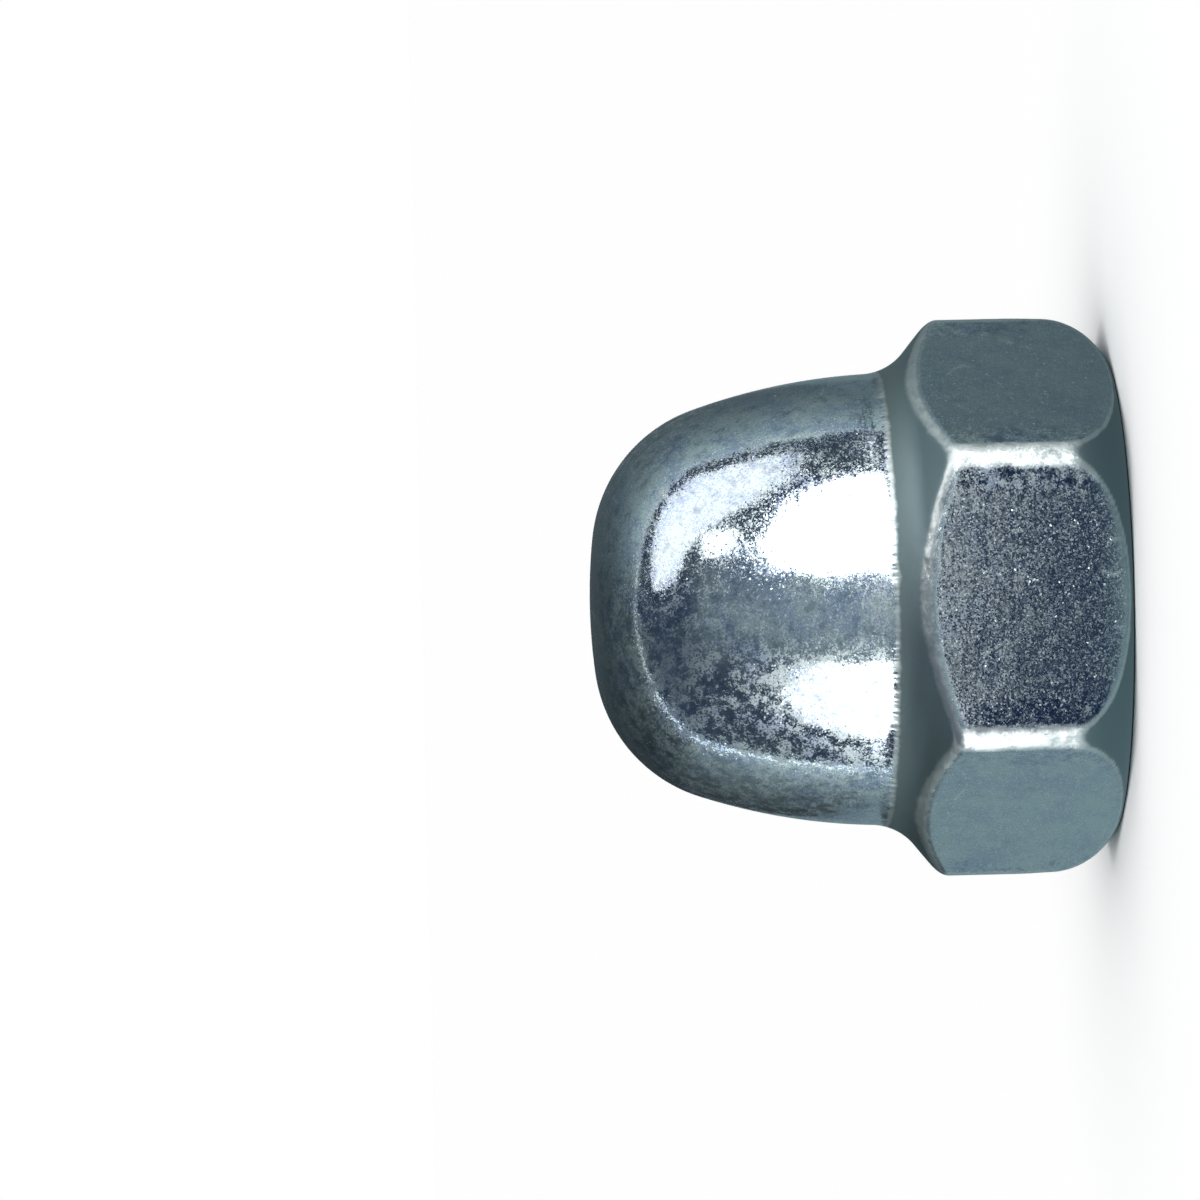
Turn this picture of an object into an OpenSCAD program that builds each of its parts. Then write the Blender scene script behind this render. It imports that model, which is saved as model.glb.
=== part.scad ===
// High domed cap nut, M10.
// One steel piece, cold formed and tapped: a rounded hexagon, a sloping shoulder with a neck fillet,
// a dome whose outline is three arcs that run smoothly into each other, and a blind bore from below.
// The nut stands on its bearing face, with the origin at that face's centre and +Z towards the dome.
// The bore is the plain wall at the thread's minor diameter.

/* [Hexagon] */
// Width across the flats, which is the spanner size
across_flats = 17; // [14:0.1:21]
// Radius of the six upright corners
corner_r = 1; // [0.4:0.05:1.6]

/* [Foot] */
// How far the edge of the flat bearing face lies inside the flats
bearing_step = 0.3; // [0.1:0.05:0.8]
// Radius of the rounding between the bearing face and the hexagon's corners
foot_r = 2.7; // [2.2:0.1:3.4]

/* [Shoulder] */
// Height at which the slope on top of the hexagon would meet the dome's side
shoulder_h = 7.5; // [6:0.1:9]
// Angle between that slope and the nut's axis
shoulder_angle = 51; // [42:1:60]
// Radius between the slope and the hexagon's corners
shoulder_r = 0.75; // [0.4:0.05:1]
// Radius of the fillet between the slope and the dome
neck_r = 2; // [1:0.1:2.4]

/* [Dome] */
// Height of the whole nut
total_h = 18; // [15:0.1:22]
// How far the dome's side lies inside the flats, at the shoulder
dome_step = 0.65; // [0.3:0.05:1.2]
// How far the long arc along the dome's side leans in, from the shoulder to the height of the tip
side_lean = 2.8; // [1.5:0.05:3.6]
// Radius of the tight arc between the side and the nose
turn_arc_r = 5.2; // [4:0.1:6]
// Radius of the shallow arc over the nose
nose_arc_r = 20; // [12:0.5:40]

/* [Bore] */
// Diameter of the bore's wall, which is the minor diameter of the thread
bore_d = 8.5; // [6.6:0.05:10.2]
// Thickness of the dome over the bore's flat end
crown_t = 5; // [3:0.1:8]
// How far the edge of that flat end lies inside the bore's wall
end_step = 1.25; // [0.5:0.05:2]
// Length of the cone between the bore's wall and the flat end
end_cone_h = 0.9; // [0.4:0.05:2]
// How far outside the bore's wall the countersink would meet the bearing face
mouth_step = 1.55; // [1:0.05:2.2]
// Angle between the countersink and the nut's axis
mouth_angle = 45; // [40:1:60]
// Radius of the rounded lip between the countersink and the bearing face
lip_r = 0.35; // [0.1:0.05:0.5]

/* [Hidden] */
$fn = 96;
sides = 6;
// The turned outline runs this far outside the rounded corners, so that the two surfaces cross cleanly.
corner_clear = 0.04;
// A cut runs this far past the face that it opens.
cut_past = 1;
// An arc turns through at most this angle from one of its points to the next.
arc_step = 8;

// Radii, from the axis, and heights that follow from the others
flat_r = across_flats / 2;
corner_centre_r = (flat_r - corner_r) / cos(180 / sides);
turned_r = corner_centre_r + corner_r + corner_clear;
bearing_r = flat_r - bearing_step;
dome_r = flat_r - dome_step;
bore_r = bore_d / 2;
end_r = bore_r - end_step;
mouth_r = bore_r + mouth_step;
bore_depth = total_h - crown_t;
dome_h = total_h - shoulder_h;
side_arc_r = (pow(dome_h, 2) + pow(side_lean, 2)) / (2 * side_lean);

// Points of the outline are [distance from the axis, height].
// Foot: an arc that leaves the bearing face at its edge and ends upright on the turned radius
foot_x = turned_r - foot_r;
foot_c = [foot_x, sqrt(pow(foot_r, 2) - pow(bearing_r - foot_x, 2))];
foot_a = [bearing_r, 0];
foot_b = [turned_r, foot_c.y];

// Shoulder: the slope runs down and out from the dome's side
slope = [sin(shoulder_angle), -cos(shoulder_angle)];
slope_out = [cos(shoulder_angle), sin(shoulder_angle)];
slope_top = [dome_r, shoulder_h];
slope_foot = slope_top + slope * (turned_r - dome_r) / slope.x;
shoulder_cut = shoulder_r * tan(shoulder_angle / 2);
shoulder_a = slope_foot - [0, shoulder_cut];
shoulder_b = slope_foot - slope * shoulder_cut;
shoulder_c = shoulder_a - [shoulder_r, 0];

// Neck: the fillet's centre lies neck_r off the slope, and neck_r outside the side arc
side_c = [dome_r - side_arc_r, shoulder_h];
neck_run = sqrt(pow(side_arc_r * slope.x, 2) + 2 * side_arc_r * neck_r * (1 - slope_out.x))
    - side_arc_r * slope.x;
neck_a = slope_top + slope * neck_run;
neck_c = neck_a + slope_out * neck_r;
neck_b = side_c + toward(side_c, neck_c) * side_arc_r;

// Dome: the turn arc touches the nose arc and the side arc from inside
nose_c = [0, total_h - nose_arc_r];
turn_c = meet(nose_c, nose_arc_r - turn_arc_r, side_c, side_arc_r - turn_arc_r);
side_end = side_c + toward(side_c, turn_c) * side_arc_r;
nose_end = nose_c + toward(nose_c, turn_c) * nose_arc_r;
nose_tip = [0, total_h];

// Countersink: the cone runs in and up from the bearing face to the bore's wall
mouth_run = [-sin(mouth_angle), cos(mouth_angle)];
mouth_edge = [mouth_r, 0];
mouth_end = mouth_edge + mouth_run * mouth_step / sin(mouth_angle);
lip_cut = lip_r * tan((90 - mouth_angle) / 2);
lip_a = mouth_edge + [lip_cut, 0];
lip_b = mouth_edge + mouth_run * lip_cut;
lip_c = lip_a + [0, lip_r];

// The unit vector from one point towards another
function toward(from, to) = (to - from) / norm(to - from);

// The outer of the two points that lie ra from a and rb from b
function meet(a, ra, b, rb) =
    let (
        gap = norm(b - a),
        along = (pow(gap, 2) + pow(ra, 2) - pow(rb, 2)) / (2 * gap),
        off = sqrt(pow(ra, 2) - pow(along, 2)),
        u = toward(a, b)
    ) a + u * along + off * [-u.y, u.x] * (u.x < 0 ? -1 : 1);

// Points from a to b along the shorter arc about a centre, both ends included
function arc(centre, a, b) =
    let (
        r = norm(a - centre),
        start = atan2(a.y - centre.y, a.x - centre.x),
        swing = (atan2(b.y - centre.y, b.x - centre.x) - start + 540) % 360 - 180,
        steps = ceil(abs(swing) / arc_step)
    ) [for (i = [0 : steps]) let (t = start + swing * i / steps) centre + r * [cos(t), sin(t)]];

// Half of the nut's turned outline, without the bore
module outline()
    polygon(concat(
        [[0, 0]],
        arc(foot_c, foot_a, foot_b),
        arc(shoulder_c, shoulder_a, shoulder_b),
        arc(neck_c, neck_a, neck_b),
        arc(side_c, neck_b, side_end),
        arc(turn_c, side_end, nose_end),
        arc(nose_c, nose_end, nose_tip)
    ));

// Half of the bore's outline, with its countersink, its rounded lip and its blunt end
module bore_outline()
    polygon(concat(
        [[0, -cut_past], [lip_a.x, -cut_past]],
        arc(lip_c, lip_a, lip_b),
        [mouth_end, [bore_r, bore_depth - end_cone_h], [end_r, bore_depth], [0, bore_depth]]
    ));

// The hexagon, with its flats towards -Y and +Y and its corners rounded
module hexagon()
    polygon([for (i = [0 : sides - 1])
        let (turn = i * 360 / sides, half = 180 / sides, centre = corner_centre_r * [cos(turn), sin(turn)])
            each arc(
                centre,
                centre + corner_r * [cos(turn - half), sin(turn - half)],
                centre + corner_r * [cos(turn + half), sin(turn + half)]
            )]);

module cap_nut() {
    color("lightsteelblue")
        difference() {
            intersection() {
                rotate_extrude() outline();
                translate([0, 0, -cut_past]) linear_extrude(total_h + 2 * cut_past) hexagon();
            }
            rotate_extrude() bore_outline();
        }
}

cap_nut();
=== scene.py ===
"""Zinc plated cap nut with an M10 thread, in a small product studio.

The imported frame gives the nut's size and place. One piece, the nut, stands for the CAD node: it adds the
soft edges, the thread and the finish. The stage is a pale floor, softboxes, dim cards and the camera.
"""

import math

import bmesh
import bpy
import numpy as np
from bpy.props import FloatProperty, FloatVectorProperty, IntProperty, PointerProperty
from mathutils import Matrix, Vector


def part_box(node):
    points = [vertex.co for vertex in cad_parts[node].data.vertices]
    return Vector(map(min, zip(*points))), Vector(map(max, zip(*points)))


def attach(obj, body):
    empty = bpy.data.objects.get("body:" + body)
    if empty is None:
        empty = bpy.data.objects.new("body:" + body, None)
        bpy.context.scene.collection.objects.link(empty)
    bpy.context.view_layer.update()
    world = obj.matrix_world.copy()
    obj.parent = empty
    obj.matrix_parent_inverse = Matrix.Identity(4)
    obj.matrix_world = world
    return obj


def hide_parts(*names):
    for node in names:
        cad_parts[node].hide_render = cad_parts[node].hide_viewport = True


bl_info = {
    "name": "Zinc plated cap nut",
    "version": (1, 0, 0),
    "blender": (4, 5, 0),
    "location": "View3D > Sidebar > Cap nut",
    "description": "Builds a domed cap nut with its internal thread, and the studio round it",
    "category": "Object",
}

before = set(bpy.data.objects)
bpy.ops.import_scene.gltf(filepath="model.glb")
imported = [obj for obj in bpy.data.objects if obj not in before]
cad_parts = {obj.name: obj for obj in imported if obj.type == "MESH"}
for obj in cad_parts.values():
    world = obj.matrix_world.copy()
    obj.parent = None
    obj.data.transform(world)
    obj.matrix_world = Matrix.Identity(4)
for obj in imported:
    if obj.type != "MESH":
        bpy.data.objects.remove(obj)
BODY = "root"
NODE = "cap_nut"

MM = 0.001
TURN = 2 * math.pi
SIDES = 6
HALF_SIDE = math.pi / SIDES
# Angle between a flank of the thread and the radial plane
FLANK = math.radians(30)

CAD_LOW, CAD_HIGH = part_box(NODE)
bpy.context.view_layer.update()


# ------------------------------ sizes


def length(label, about, default):
    """A length property in metres."""
    return FloatProperty(name=label, description=about, default=default, min=0.0, unit="LENGTH", precision=5)


def angle(label, about, degrees):
    """An angle property in radians, from a default in degrees."""
    return FloatProperty(name=label, description=about, default=math.radians(degrees), subtype="ANGLE")


def level(label, about, default, high=1.0):
    """A plain number from zero up to a limit."""
    return FloatProperty(name=label, description=about, default=default, min=0.0, max=high)


def linear(code):
    """Linear RGB from an sRGB hex colour, by the curve of the sRGB standard."""
    shades = np.array([int(code[i:i + 2], 16) for i in (1, 3, 5)]) / 255
    return tuple(np.where(shades <= 0.04045, shades / 12.92, ((shades + 0.055) / 1.055) ** 2.4))


def colour(label, about, code):
    """A colour property, from an sRGB hex default."""
    return FloatVectorProperty(
        name=label, description=about, default=linear(code), subtype="COLOR", min=0.0, max=1.0)


class NutSizes(bpy.types.PropertyGroup):
    """The cold formed body: hexagon, foot, shoulder, neck and dome."""

    across_flats: length("Across flats", "Width between opposite flats", CAD_HIGH.y - CAD_LOW.y)
    height: length("Height", "Height of the whole nut", CAD_HIGH.z - CAD_LOW.z)
    corner_radius: length("Corner radius", "Radius of the six upright corners", 1.0 * MM)
    bearing_step: length("Bearing step", "How far the bearing face ends inside the flats", 0.3 * MM)
    foot_radius: length("Foot radius", "Radius between the bearing face and the corners", 2.7 * MM)
    shoulder_height: length("Shoulder height", "Where the slope would meet the dome's side", 7.5 * MM)
    shoulder_angle: angle("Shoulder angle", "Angle between the slope and the axis", 51)
    neck_radius: length("Neck radius", "Fillet between the slope and the dome", 2.0 * MM)
    dome_step: length("Dome step", "How far the dome's side lies inside the flats", 0.65 * MM)
    side_lean: length("Side lean", "How far the side arc leans in by the height of the tip", 2.8 * MM)
    turn_radius: length("Turn radius", "Tight arc between the dome's side and its nose", 5.2 * MM)
    nose_radius: length("Nose radius", "Shallow arc over the dome's nose", 20.0 * MM)
    shoulder_soft: length("Shoulder softness", "Reach of the blend between slope and hexagon", 0.38 * MM)
    foot_soft: length("Foot softness", "Reach of the blend between foot and hexagon", 0.12 * MM)
    crease: length("Crease", "Half width of the scuffed line where the dome's side meets the neck", 0.14 * MM)
    crease_drop: length("Crease drop", "How far that line lies below the top of the neck fillet", 0.4 * MM)
    foot_wear: length("Foot wear", "Width of the rubbed border at the bearing face's outer edge", 0.1 * MM)


class BoreSizes(bpy.types.PropertyGroup):
    """The blind bore with its countersink and its metric coarse thread."""

    minor: length("Minor diameter", "Diameter over the thread's crests", 8.5 * MM)
    major: length("Major diameter", "Diameter at the bottom of the thread's groove", 10.0 * MM)
    pitch: length("Pitch", "Advance of the thread in one turn", 1.5 * MM)
    start: angle("Thread start", "Turn of the groove about the axis", -25)
    crest_soft: length("Crest softness", "Reach of the blend at the thread's crests", 0.05 * MM)
    root_soft: length("Root softness", "Reach of the blend at the bottom of the groove", 0.07 * MM)
    depth: length("Depth", "Depth of the bore to its flat end", 13.0 * MM)
    thread_end: length("Thread end", "Depth at which the groove has run out", 11.7 * MM)
    run_out: length("Run-out", "Length over which the groove runs out", 2.4 * MM)
    end_step: length("End step", "How far the flat end lies inside the wall", 1.25 * MM)
    end_cone: length("End cone", "Length of the cone between wall and flat end", 0.9 * MM)
    dimple: length("Dimple", "Radius of the centre mark in the flat end", 0.28 * MM)
    dimple_depth: length("Dimple depth", "Depth of the centre mark", 0.056 * MM)
    mouth_step: length("Mouth step", "How far the countersink opens outside the wall", 1.55 * MM)
    mouth_angle: angle("Mouth angle", "Angle between the countersink and the axis", 45)
    mouth_soft: length("Mouth softness", "Reach of the blend between countersink and thread", 0.05 * MM)
    lip_radius: length("Lip radius", "Rounded lip of the countersink", 0.35 * MM)
    lip_wear: length("Lip wear", "Width of the rubbed border at the bearing face's inner edge", 0.45 * MM)


class MeshCounts(bpy.types.PropertyGroup):
    """How finely the surface is divided."""

    columns: IntProperty(
        name="Columns per corner", description="Columns in a sixth of a turn", default=48, min=8)
    thread_rows: IntProperty(
        name="Rows per pitch", description="Rows in one turn of thread", default=18, min=8)


class ZincFinish(bpy.types.PropertyGroup):
    """Zinc electroplate under a clear blue passivate."""

    zinc: colour("Zinc", "Clean plate, slightly blue", "#c6d2d4")
    film: colour("Film", "Plate under the thicker, violet-blue passivate", "#8292c0")
    spot: colour("Spot", "Small dark spots where the passivate has pooled", "#4a5478")
    # Partly painted shade: this duller plate over the neck, the slope and the foot is also made darker as
    # shade round the neck
    formed: colour("Formed", "Duller plate over the neck, the slope and the foot", "#85979b")
    # Painted shade: this darker colour lies in the neck fillet as shade in the hollow, together with darker
    # passivate
    neck_shade_and_stain: colour("Stain", "Darker passivate that has gathered in the neck", "#6c7c7e")
    rubbed: colour("Rubbed", "Bright plate where edges have been rubbed", "#d3dbdb")
    bore: colour("Bore", "Teal passivate inside the bore", "#a3c6c6")

    grain: length("Grain", "Size of the plate's crystals, drawn coarse enough to show", 0.05 * MM)
    cloud: length("Cloud", "Size of the cloudy patches of film", 1.4 * MM)
    mottle: length("Mottle", "Size of the hazy mottling", 0.5 * MM)
    spread: length("Spread", "Size of the wide drifts of haze", 7.0 * MM)
    spread_move: FloatVectorProperty(
        name="Spread move", description="Place of the wide drifts of haze",
        default=(84 * MM, 69 * MM, 22 * MM), subtype="TRANSLATION")
    wave: length("Wave", "Size of the slow ripple left by the die", 0.9 * MM)
    line: length("Line", "Width of the faint rings left by the die", 0.11 * MM)
    rib: length("Rib", "Width of the short ribs where they cross the crease", 0.13 * MM)
    rib_reach: length("Rib reach", "Distance from the axis at which the ribs are that wide", 7.8 * MM)
    scuff: length("Scuff", "Size of the lumps and notches in worn edges", 0.5 * MM)
    hair: length("Hair", "Distance between hairline scratches", 2.2 * MM)
    hair_turn: FloatVectorProperty(
        name="Hair turn", description="Turn of the hairline scratches",
        default=(0.7, 0.5, 0.3), subtype="EULER")
    pit: length("Pit", "Distance between the finest pits", 0.5 * MM)

    flat_lean: level("Flat lean", "How far crystals on the flats lean, as a share of the normal", 0.024)
    dome_lean: level("Dome lean", "How far crystals elsewhere lean", 0.013)
    ripple: level("Ripple", "How far the slow ripple leans", 0.06)
    flat_ripple: level("Flat ripple", "How far the slow ripple leans on the flats", 0.03)
    ring_lean: level("Ring lean", "How far the faint rings lean", 0.05)
    rib_lean: level("Rib lean", "How far the ribs across the crease lean", 0.8)
    knock_lean: level("Knock lean", "How far the lumps on the edges lean", 0.5)
    crease_wear: level("Crease wear", "How worn the crease is, against the edges", 0.72)

    dome_film: level("Dome film", "Tint of the violet-blue film on the dome", 0.5)
    flat_film: level("Flat film", "Tint of the film on the flats", 0.28)
    dome_spots: level("Dome spots", "Strength of the dark spots on the dome", 0.36)
    flat_spots: level("Flat spots", "Strength of the dark spots on the flats", 0.1)
    most_haze: level("Most haze", "Share of hazy crystals where it is haziest", 0.85)
    flat_haze: level("Flat haze", "Hazy crystals on the flats, as a share of those elsewhere", 0.22)

    roughness: level("Roughness", "Roughness of a clear crystal on the dome", 0.07)
    flat_roughness: level("Flat roughness", "Roughness of a clear crystal on the flats", 0.13)
    haze: level("Haze", "Roughness of a hazy crystal", 0.37)
    formed_roughness: level("Formed roughness", "Roughness over the slope and the foot", 0.44)
    neck_roughness: level("Neck roughness", "Roughness in the neck fillet", 0.62)
    edge_roughness: level("Edge roughness", "Roughness where edges have been rubbed", 0.36)
    bore_roughness: level("Bore roughness", "Roughness inside the bore", 0.24)


class StudioLight(bpy.types.PropertyGroup):
    """Softboxes, cards, floor and camera."""

    reach: length("Reach", "Distance from the nut to the softboxes", 350 * MM)
    right_level: level("Right box", "Radiance of the low softbox at front right", 4.5, 20)
    over_level: level("Over box", "Radiance of the long softbox over the right side", 1.75, 20)
    left_level: level("Left box", "Radiance of the low softbox at front left", 2.6, 20)
    window_level: level("Window", "Radiance of the small softbox above the right one", 3.5, 20)
    sky_level: level("Sky", "Light from overhead on the floor, in watts per square metre", 3.32, 20)
    sky_width: angle("Sky width", "How wide the overhead light is, which softens the shadow", 110)

    floor: colour("Floor", "Pale paper of the floor", "#f8f8f8")
    floor_width: length("Floor width", "Width of the floor", 4000 * MM)
    front_mat: colour("Front mat", "Navy mat on the floor in front", "#24354f")
    rear_card: colour("Rear card", "Teal-grey mat at the sides and behind", "#7d9095")
    mat_radius: length("Mat radius", "Reach of the dim mat in front of the nut", 95 * MM)
    right_bounce: level("Right bounce", "Radiance of the white card under the right softbox", 1.6, 5)
    left_bounce: level("Left bounce", "Radiance of the white card under the left softbox", 4.0, 5)
    bounce_start: length("Bounce start", "Distance from the axis at which the white cards begin", 28 * MM)

    tent_radius: length("Tent radius", "Distance from the nut to the tent", 620 * MM)
    front_card: colour("Front card", "Blue-grey front of the tent", "#a7b5bb")
    shade_card: colour("Shade card", "Dim part of the tent just in front of its seam", "#475462")
    dark_card: colour("Dark card", "Darkest part of the tent, at its back", "#444f53")
    lit_card: colour("Lit card", "Lit part of the tent just behind its seam", "#cbdfe2")
    seam: colour("Seam", "Light seam of the tent", "#eef6f6")
    seam_gain: level("Seam gain", "How much brighter the seam is at the left", 1.6, 5)

    camera_distance: length("Camera distance", "From the lens to the nut's axis", 235 * MM)
    camera_elevation: angle("Camera elevation", "Height of the camera as seen from the nut", 4.3)
    camera_roll: angle("Camera roll", "Turn of the camera on its own axis, past a quarter turn", 1.32)
    picture_width: length("Picture width", "Width of the view at the nut's axis", 41.7 * MM)
    aside: length("Aside", "How far the nut's middle lies right of the picture's middle", 8.65 * MM)


# ------------------------------ surface


# Points in each stretch of the turned outline, from the dome's tip round to the centre mark in the bore
ROWS = {
    "nose": 10, "turn": 38, "side": 20, "neck": 28, "slope": 28, "upright": 8, "foot": 32,
    "bearing": 16, "lip": 9, "cone": 7, "end": 8, "dimple": 6,
}
# How evenly columns are spread: wholly at one, and at nought they crowd hard towards the corners
EVENNESS = 0.35
# The centre mark's rings run in to this share of its radius
DIMPLE_CORE = 0.2

# Where marks start and where they are full. A corner's is in angles to the end of its rounding, a flat's in
# the sine of three times the angle from the corner, a blend's in its own share, and dullness in half widths
# of the crease, from the crease down.
CORNER_FADE = (1.15, 0.85)
FLAT_FADE = (0.3, 0.5)
BLEND_FADE = (0.1, 0.8)
DULL_FADE = (-0.5, 1)
# Strength of the crease's mark at its middle, of the ribs on the bore's end cone, of the wear beside the
# lip, and of the bore's mark on the lip
CREASE_MARK = 0.9
END_RIBS = 0.4
LIP_MARK = 0.8
LIP_BORE = 0.5

# The marks that the finish reads, one point attribute each
MARKS = ("edge", "dull", "neck", "crease", "flat", "bore")

# Vertices closer than the first are merged, and edges shorter than the second are dissolved
MERGE = 0.001 * MM
DISSOLVE = 0.0001 * MM


def toward(start, end):
    """Unit vector from one point to another."""
    return (end - start) / np.linalg.norm(end - start)


def arc(centre, start, end, count):
    """Points on the shorter arc about a centre: the radius turned evenly from start to end."""
    spokes = np.array([start, end]) - centre
    first, last = np.arctan2(spokes[:, 1], spokes[:, 0])
    swing = (last - first + math.pi) % TURN - math.pi
    turns = first + swing * np.linspace(0, 1, count)
    return centre + np.linalg.norm(spokes[0]) * np.stack([np.cos(turns), np.sin(turns)], 1)


def line(start, end, count):
    """Points spread evenly from start to end."""
    return start + (end - start) * np.linspace(0, 1, count)[:, None]


def smooth_min(a, b, reach):
    """The smaller of a and b, less a quarter of the reach times the square of how nearly they are equal.
    With it comes that nearness, which is one where they are equal and nought from the reach on."""
    near = np.clip(1 - np.abs(a - b) / reach, 0, 1)
    return np.minimum(a, b) - reach * near ** 2 / 4, near


def smooth_max(a, b, reach):
    """The larger of a and b, rounded in the same way."""
    value, _ = smooth_min(-a, -b, reach)
    return -value


def smooth_step(low, high, x):
    """Nought below low and one above high, with an S curve between: 3 t squared less 2 t cubed."""
    t = np.clip((x - low) / (high - low), 0, 1)
    return t * t * (3 - 2 * t)


def column_angles(per_corner):
    """Angles round the axis, crowded towards the six corners: in each sixth of a turn, u runs from -1 to 1
    and the angle from the corner is half a side times a mix of u and u cubed."""
    u = np.arange(per_corner) / per_corner * 2 - 1
    inside = HALF_SIDE * (EVENNESS * u + (1 - EVENNESS) * u ** 3)
    corners = np.arange(SIDES) * 2 * HALF_SIDE
    turned = (corners[:, None] + inside[None, :]).ravel()
    return np.sort(turned % TURN)


def hexagon_radius(turns, sizes):
    """Distance from the axis to the rounded hexagon: the flat's half width over the cosine of the angle
    from the flat, and near a corner the far crossing of the ray with the corner's circle. With it comes
    the corner's share, one on the rounding and nought on the flats."""
    flat = sizes.across_flats / 2
    centre = (flat - sizes.corner_radius) / math.cos(HALF_SIDE)
    off_corner = np.abs((turns + HALF_SIDE) % (2 * HALF_SIDE) - HALF_SIDE)
    straight = flat / np.cos(HALF_SIDE - off_corner)
    across = np.clip(sizes.corner_radius ** 2 - (centre * np.sin(off_corner)) ** 2, 0, None)
    rounded = centre * np.cos(off_corner) + np.sqrt(across)
    tangent = math.atan2(
        sizes.corner_radius * math.sin(HALF_SIDE), centre + sizes.corner_radius * math.cos(HALF_SIDE))
    radius = np.where(off_corner < tangent, rounded, straight)
    return radius, smooth_step(*CORNER_FADE, off_corner / tangent)


def dome_arcs(sizes, side_centre, side_radius):
    """Where the dome's arcs meet. The turn arc touches the nose arc and the side arc from inside, so its
    centre lies the nose's radius less its own from the nose's centre, and the side's less its own from the
    side's. Returns the nose arc's centre and lower end, then the turn arc's."""
    nose_centre = np.array([0, sizes.height - sizes.nose_radius])
    gap = np.linalg.norm(side_centre - nose_centre)
    from_nose = sizes.nose_radius - sizes.turn_radius
    from_side = side_radius - sizes.turn_radius
    along = (gap ** 2 + from_nose ** 2 - from_side ** 2) / (2 * gap)
    u = toward(nose_centre, side_centre)
    off = math.sqrt(from_nose ** 2 - along ** 2) * np.array([u[1], -u[0]])
    turn_centre = nose_centre + u * along + off
    side_end = side_centre + toward(side_centre, turn_centre) * side_radius
    nose_end = nose_centre + toward(nose_centre, turn_centre) * sizes.nose_radius
    return nose_centre, nose_end, turn_centre, side_end


def outer_outline(sizes):
    """The turned outline from the tip down to the bearing face, as rows of radius and height, with the
    blend's reach and the dull, neck and crease marks in each row. Nose, turn and side are arcs that touch,
    and the side's radius follows from its rise and its lean. The neck arc touches the side arc from
    outside, and the slope. The slope runs on past the corners, and the foot is one arc. Round the crease
    the mark falls off as a bell curve of the height."""
    flat = sizes.across_flats / 2
    corner = (flat - sizes.corner_radius) / math.cos(HALF_SIDE) + sizes.corner_radius
    dome = flat - sizes.dome_step
    rise = sizes.height - sizes.shoulder_height
    side_r = (rise ** 2 + sizes.side_lean ** 2) / (2 * sizes.side_lean)
    side_c = np.array([dome - side_r, sizes.shoulder_height])
    nose_c, nose_end, turn_c, side_end = dome_arcs(sizes, side_c, side_r)

    slope = np.array([math.sin(sizes.shoulder_angle), -math.cos(sizes.shoulder_angle)])
    out = np.array([math.cos(sizes.shoulder_angle), math.sin(sizes.shoulder_angle)])
    slope_top = np.array([dome, sizes.shoulder_height])
    neck_r = sizes.neck_radius
    run = math.sqrt((side_r * slope[0]) ** 2 + 2 * side_r * neck_r * (1 - out[0])) - side_r * slope[0]
    neck_low = slope_top + slope * run
    neck_c = neck_low + out * neck_r
    neck_high = side_c + toward(side_c, neck_c) * side_r
    slope_end = slope_top + slope * (corner + sizes.shoulder_soft - dome) / slope[0]

    foot_x = corner - sizes.foot_radius
    bearing = flat - sizes.bearing_step
    foot_c = np.array([foot_x, math.sqrt(sizes.foot_radius ** 2 - (bearing - foot_x) ** 2)])
    foot_high = foot_c + np.array([sizes.foot_radius, 0])
    above = [
        arc(nose_c, np.array([0, sizes.height]), nose_end, ROWS["nose"])[1:],
        arc(turn_c, nose_end, side_end, ROWS["turn"])[1:],
        arc(side_c, side_end, neck_high, ROWS["side"])[1:],
        arc(neck_c, neck_high, neck_low, ROWS["neck"])[1:],
        line(neck_low, slope_end, ROWS["slope"])[1:],
    ]
    below = [
        line(slope_end, foot_high, ROWS["upright"])[1:-1],
        arc(foot_c, foot_high, np.array([bearing, 0]), ROWS["foot"]),
    ]
    rows = np.concatenate(above + below)
    reach = np.where(np.arange(len(rows)) < sum(map(len, above)), sizes.shoulder_soft, sizes.foot_soft)

    crease_at = neck_high[1] - sizes.crease_drop
    under = (crease_at - rows[:, 1]) / sizes.crease
    # The dull mark covers everything below the crease; the finish tints it darker, partly as painted shade,
    # and makes it rougher
    dull = smooth_step(*DULL_FADE, under)
    # The neck mark grows up the neck fillet to the crease; the finish paints the plate darker by it, as shade
    # in the hollow, and makes it rougher
    up_neck = smooth_step(neck_low[1], crease_at, rows[:, 1])
    marks = {"dull": dull, "neck": dull * up_neck, "crease": CREASE_MARK * np.exp(-under ** 2)}
    return rows, reach[:, None], {name: values[:, None] for name, values in marks.items()}


def groove_radius(depth, turns, bore):
    """Radius of the threaded wall. Across the groove it is flat for an eighth of the pitch at the major
    radius, then falls at thirty degrees from the radial plane to the minor radius, and it fades out
    towards the thread's end. The groove's middle climbs by one pitch in each turn."""
    minor, major = bore.minor / 2, bore.major / 2
    phase = (depth - bore.pitch * (turns - bore.start) / TURN) / bore.pitch
    off = np.abs((phase + 0.5) % 1 - 0.5) * bore.pitch
    flank = major - (off - bore.pitch / 16) / math.tan(FLANK)
    root, _ = smooth_min(major, flank, bore.root_soft)
    wall = smooth_max(root, minor, bore.crest_soft)
    cut = 1 - smooth_step(bore.thread_end - bore.run_out, bore.thread_end, depth)
    return minor + (wall - minor) * cut


def lip_arc(bore):
    """The countersink's rounded lip: an arc that touches the bearing face and the countersink's cone."""
    mouth = bore.minor / 2 + bore.mouth_step
    cone = np.array([-math.sin(bore.mouth_angle), math.cos(bore.mouth_angle)])
    cut = bore.lip_radius * math.tan((math.pi / 2 - bore.mouth_angle) / 2)
    outer = np.array([mouth + cut, 0])
    inner = np.array([mouth, 0]) + cone * cut
    return arc(outer + np.array([0, bore.lip_radius]), outer, inner, ROWS["lip"])


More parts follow.
